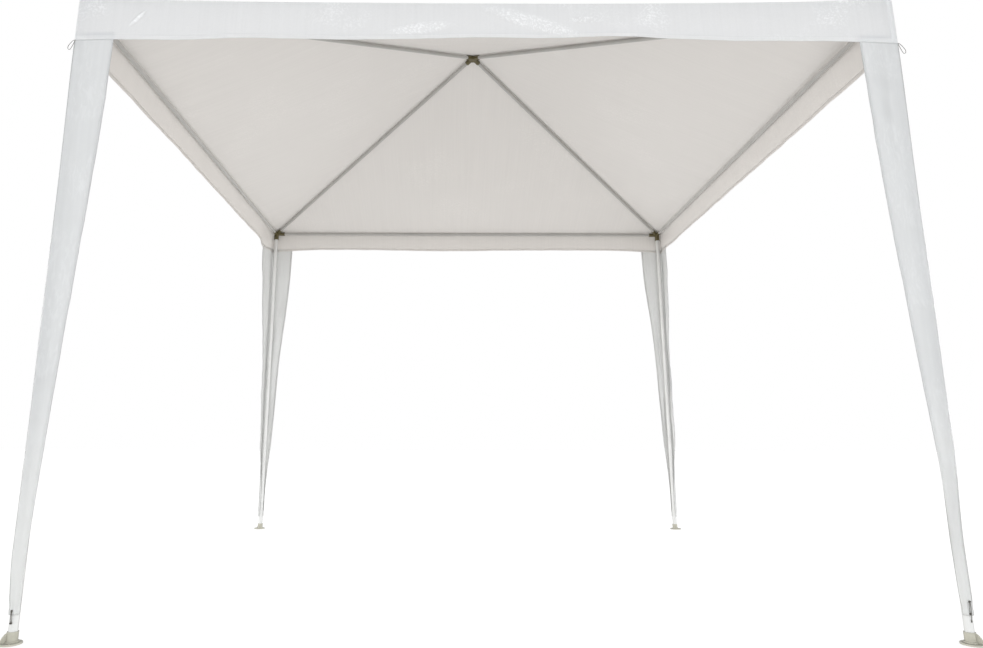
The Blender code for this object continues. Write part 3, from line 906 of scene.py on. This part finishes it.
def hip_track(side, offset):
    """Places on the cover beside the hip at a side's right end, with the way outwards."""
    pairs = []
    for row in seam_rows:
        distance = row_distance(*row)
        straight = distance - min(HIP_ROUNDING, 0.35 * distance)
        pairs.append([canopy_point(side, 1 - (offset + shift) / straight, *row)[0]
                      for shift in (0.0, 0.003)])
    track = []
    for i, (here, aside) in enumerate(pairs):
        ahead = pairs[min(i + 1, len(pairs) - 1)][0] - pairs[max(i - 1, 0)][0]
        track.append(facing(here, aside - here, ahead, Vector((here.x, here.y, 1.0))))
    return track


def raised(track, height):
    return [(here + out * height, out) for here, out in track]


def hem_track(side, inset, way):
    """Places along the valance's hem, on its outside (way 1) or its inside (way -1)."""
    out = (quarter(side) @ Vector((0, -way))).to_3d()
    return [(canopy_point(side, station, "fall", hem_share(HEM_STITCH), inset)[0], out)
            for station in stations if abs(station) < 0.999]


def cover_track(k, way, inside):
    """Places down the hem of a wing of a leg cover, on its outside or its inside."""
    track = []
    for height in (row for row in cover_rows if row <= COVER_THREAD_TOP):
        back = COVER_STITCH if inside else 0.0
        share = way * (1 - COVER_STITCH / cover_width(height))
        here, near = (cover_place(k, height, share * shift if not inside else share,
                                  back * shift)[0] for shift in (1.0, 0.94))
        low = cover_place(k, height - 0.004, share, back)[0]
        leg = quarter(k) @ Vector((-leg_out, -leg_out))
        away = (here.to_2d() - leg + leg.normalized() * 0.3).to_3d()
        here, out = facing(here, near - here, low - here, away)
        track.append((here, -out if inside else out))
    return track


def thread_piece(name, tracks):
    """White thread: small raised stitches at an even pitch along each track."""
    verts, faces = [], []
    for track in tracks:
        ahead_by = STITCH_PITCH / 2
        for (start, start_out), (end, end_out) in zip(track, track[1:]):
            run = (end - start).length
            while ahead_by < run:
                centre = start.lerp(end, ahead_by / run)
                out = start_out.lerp(end_out, ahead_by / run).normalized()
                ahead = (end - start).normalized()
                aside = ahead.cross(out)
                first = len(verts)
                verts += [centre + ahead * (reach * STITCH_LONG) + aside * (x * STITCH_WIDE)
                          + out * (z * STITCH_TALL) for reach, x, z in STITCH_CORNERS]
                faces += [[first + corner for corner in face] for face in STITCH_FACES]
                ahead_by += STITCH_PITCH
            ahead_by -= run
    mesh = bpy.data.meshes.new(name)
    mesh.from_pydata(verts, [], faces)
    mesh.polygons.foreach_set("use_smooth", [True] * len(mesh.polygons))
    mesh.materials.append(thread_finish)
    piece = linked(name, mesh)
    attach(piece, "root")
    return piece


def twisted_finish(name, colour, roughness, turns):
    """Twisted or braided yarn: slanting strands with fine fibres across them."""
    material, net = plain_finish(name, roughness)
    place = net.add("TexCoord")["Object"]
    strands = net.add("TexWave", {"Vector": place, "Scale": turns, "Distortion": 1.5, "Detail": 2.0},
                      bands_direction="DIAGONAL")["Fac"]
    fibres = net.noise(place, turns * 9, 3.0)[0]
    both = net.add("Math", {0: fibres, 1: 0.35, 2: strands}, operation="MULTIPLY_ADD")[0]
    net.set("Base Color", net.tinted((*colour, 1), net.ranged(both, 0.0, 1.3, 0.72, 1.12)))
    net.relief(both, 0.7, STRAND_DEPTH)
    net.set("Sheen Weight", 0.25)
    return material


def hip_seam(side):
    """A raised strip beside a hip, from near the peak down to the hem."""
    lines = [raised(hip_track(side, offset), height) for offset, height in SEAM_PROFILE]
    bm = bmesh.new()
    grid = [[(line[i][0], (offset + side * MAP_SHIFT, i * SEAM_MAP_STEP))
             for line, (offset, _) in zip(lines, SEAM_PROFILE)] for i in range(len(seam_rows))]
    add_grid(bm, grid)
    piece = mesh_object(f"hip_seam_{CORNERS[(side + 1) % 4]}", bm, hem_outside)
    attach(piece, "root")
    return piece


thread_finish = twisted_finish("white_thread", (0.94, 0.94, 0.93), 0.55, 900.0)
seam_rows = [row for row in rows if len(row) == 2 and row_distance(*row) > SEAM_START]
hip_seams = [hip_seam(side) for side in range(4)]
canopy_thread = thread_piece(
    "canopy_thread", [raised(hip_track(side, offset), SEAM_THREAD_LIFT) for side in range(4)
                      for offset in SEAM_STITCH_ROWS]
    + [raised(hem_track(side, inset, way), HEM_THREAD_LIFT) for side in range(4)
       for inset, way in ((0.0, 1), (HEM_GAP, -1))])
cover_threads = [thread_piece(f"cover_thread_{corner}",
                              [raised(cover_track(k, way, inside), HEM_THREAD_LIFT)
                               for way in (-1, 1) for inside in (False, True)])
                 for k, corner in enumerate(CORNERS)]


# Drawcord ties and corner loops. A dark cord gathers each leg cover over its foot, tied
# outwards of the leg with two knotted tails, and a loop for a guy line hangs at each corner.
CORD_RADIUS = 0.0008
TIE_STAND = 0.0182
# Height of each knot, how far inwards it sits on the face to the front or the back, and the
# lengths of its two tails.
TIES = {"front_left": (0.089, -0.0010, 0.030, 0.030), "front_right": (0.115, -0.0002, 0.050, 0.030),
        "back_right": (0.096, 0.0040, 0.038, 0.030), "back_left": (0.090, 0.0040, 0.034, 0.030)}
TAIL_LEANS = ((0.05, -0.04), (-0.14, 0.06))     # at the start and at the end
TAIL_STEPS = 16
TAIL_INWARDS = 0.16
KNOT_SIZE = 0.00115
END_KNOT_SIZE = KNOT_SIZE * 0.75
KNOT_STEPS = 40
LOOP_PLACES = ((0.0, 0.0), (0.004, -0.003), (0.010, -0.013), (0.016, -0.026), (0.0185, -0.036),
               (0.0160, -0.0415), (0.0110, -0.039), (0.0065, -0.026), (0.0020, -0.010),
               (0.0005, -0.001))
LOOP_SHIFT = 0.0050
LOOP_UP = 0.001
LOOP_STEPS = 5
CORNER_WAYS = ((-1, -1), (1, -1), (1, 1), (-1, 1))


def smooth_route(places, steps):
    """A smooth curve through a few places."""
    route = []
    line = [places[0], *places, places[-1]]
    for before, start, end, after in zip(line, line[1:], line[2:], line[3:]):
        for j in range(steps):
            t = j / steps
            route.append(0.5 * (2 * start + (end - before) * t
                                + (2 * before - 5 * start + 4 * end - after) * t * t
                                + (3 * start - before - 3 * end + after) * t ** 3))
    return route + [places[-1]]


def cord_curve(name, route, closed=False):
    """A round cord along a route."""
    curve = bpy.data.curves.new(name, "CURVE")
    curve.dimensions = "3D"
    curve.bevel_depth = CORD_RADIUS
    curve.bevel_resolution = 3
    curve.use_fill_caps = True
    line = curve.splines.new("POLY")
    line.points.add(len(route) - 1)
    for point, place in zip(line.points, route):
        point.co = (*place, 1)
    line.use_cyclic_u = closed
    line.use_smooth = True
    curve.materials.append(cord_finish)
    piece = linked(name, curve)
    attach(piece, "root")
    return piece


def knot(name, centre, turn, size=KNOT_SIZE):
    """An overhand knot drawn tight: a closed trefoil of the same cord."""
    spin = Matrix.Rotation(turn, 3, "Z")
    route = []
    for i in range(KNOT_STEPS):
        t = math.tau * i / KNOT_STEPS
        place = Vector((math.sin(t) + 2 * math.sin(2 * t), -1.1 * math.sin(3 * t),
                        math.cos(t) - 2 * math.cos(2 * t)))
        route.append(centre + spin @ place * size)
    return cord_curve(name, route, closed=True)


def hanging_tail(start, length, lean, swing, ways):
    """A short cord end that hangs from its knot and lies in towards the tube."""
    place, route = start.copy(), [start.copy()]
    for i in range(TAIL_STEPS):
        share = (i + 0.5) / TAIL_STEPS
        aside = lean + (swing - lean) * share
        inwards = TAIL_INWARDS * ease(share, 0.15, 0.6)
        step = Vector((ways[0] * math.sin(aside), -ways[1] * inwards, -1.0)).normalized()
        place = place + step * (length / TAIL_STEPS)
        route.append(place.copy())
    return route


def tie(k, corner):
    """The knot of a leg cover's drawcord and its two tails, each ending in a small knot."""
    ways = CORNER_WAYS[k]
    height, inwards, *lengths = TIES[corner]
    centre = Vector((ways[0] * (leg_out - inwards), ways[1] * (leg_out + TIE_STAND), height))
    turn = math.radians(20) * ways[0]
    first = knot(f"tie_knot_{corner}", centre, turn)
    for number, (length, (lean, swing)) in enumerate(zip(lengths, TAIL_LEANS), 1):
        start = centre + CORD_RADIUS * Vector((ways[0] * (3 - 2 * number), ways[1] * number / 2, -2))
        route = hanging_tail(start, length, lean, swing, ways)
        tail = cord_curve(f"tie_tail_{number}_{corner}", route)
        below = route[-1] - Vector((0, 0, 1.5 * CORD_RADIUS))
        end = knot(f"tie_end_{number}_{corner}", below, turn + number, END_KNOT_SIZE)


def corner_loop(k, corner):
    """A loop of cord from inside the valance's corner, out, down and back."""
    ways = Vector((*CORNER_WAYS[k], 0))
    rim = sheet_out - HIP_ROUNDING * (1 - math.sqrt(0.5))
    root = ways * rim + Vector((0, 0, HEM_CORNER + LOOP_UP))
    ways.normalize()
    aside = Vector((-ways.y, ways.x, 0))
    places = [root + ways * out + aside * (LOOP_SHIFT * i / (len(LOOP_PLACES) - 1)) + Vector((0, 0, up))
              for i, (out, up) in enumerate(LOOP_PLACES)]
    route = smooth_route(places, LOOP_STEPS)
    loop = cord_curve(f"corner_loop_{corner}", route)


cord_finish = twisted_finish("dark_braided_cord", (0.085, 0.076, 0.062), 0.75, 420.0)
for k, corner in enumerate(CORNERS):
    tie(k, corner)
    corner_loop(k, corner)
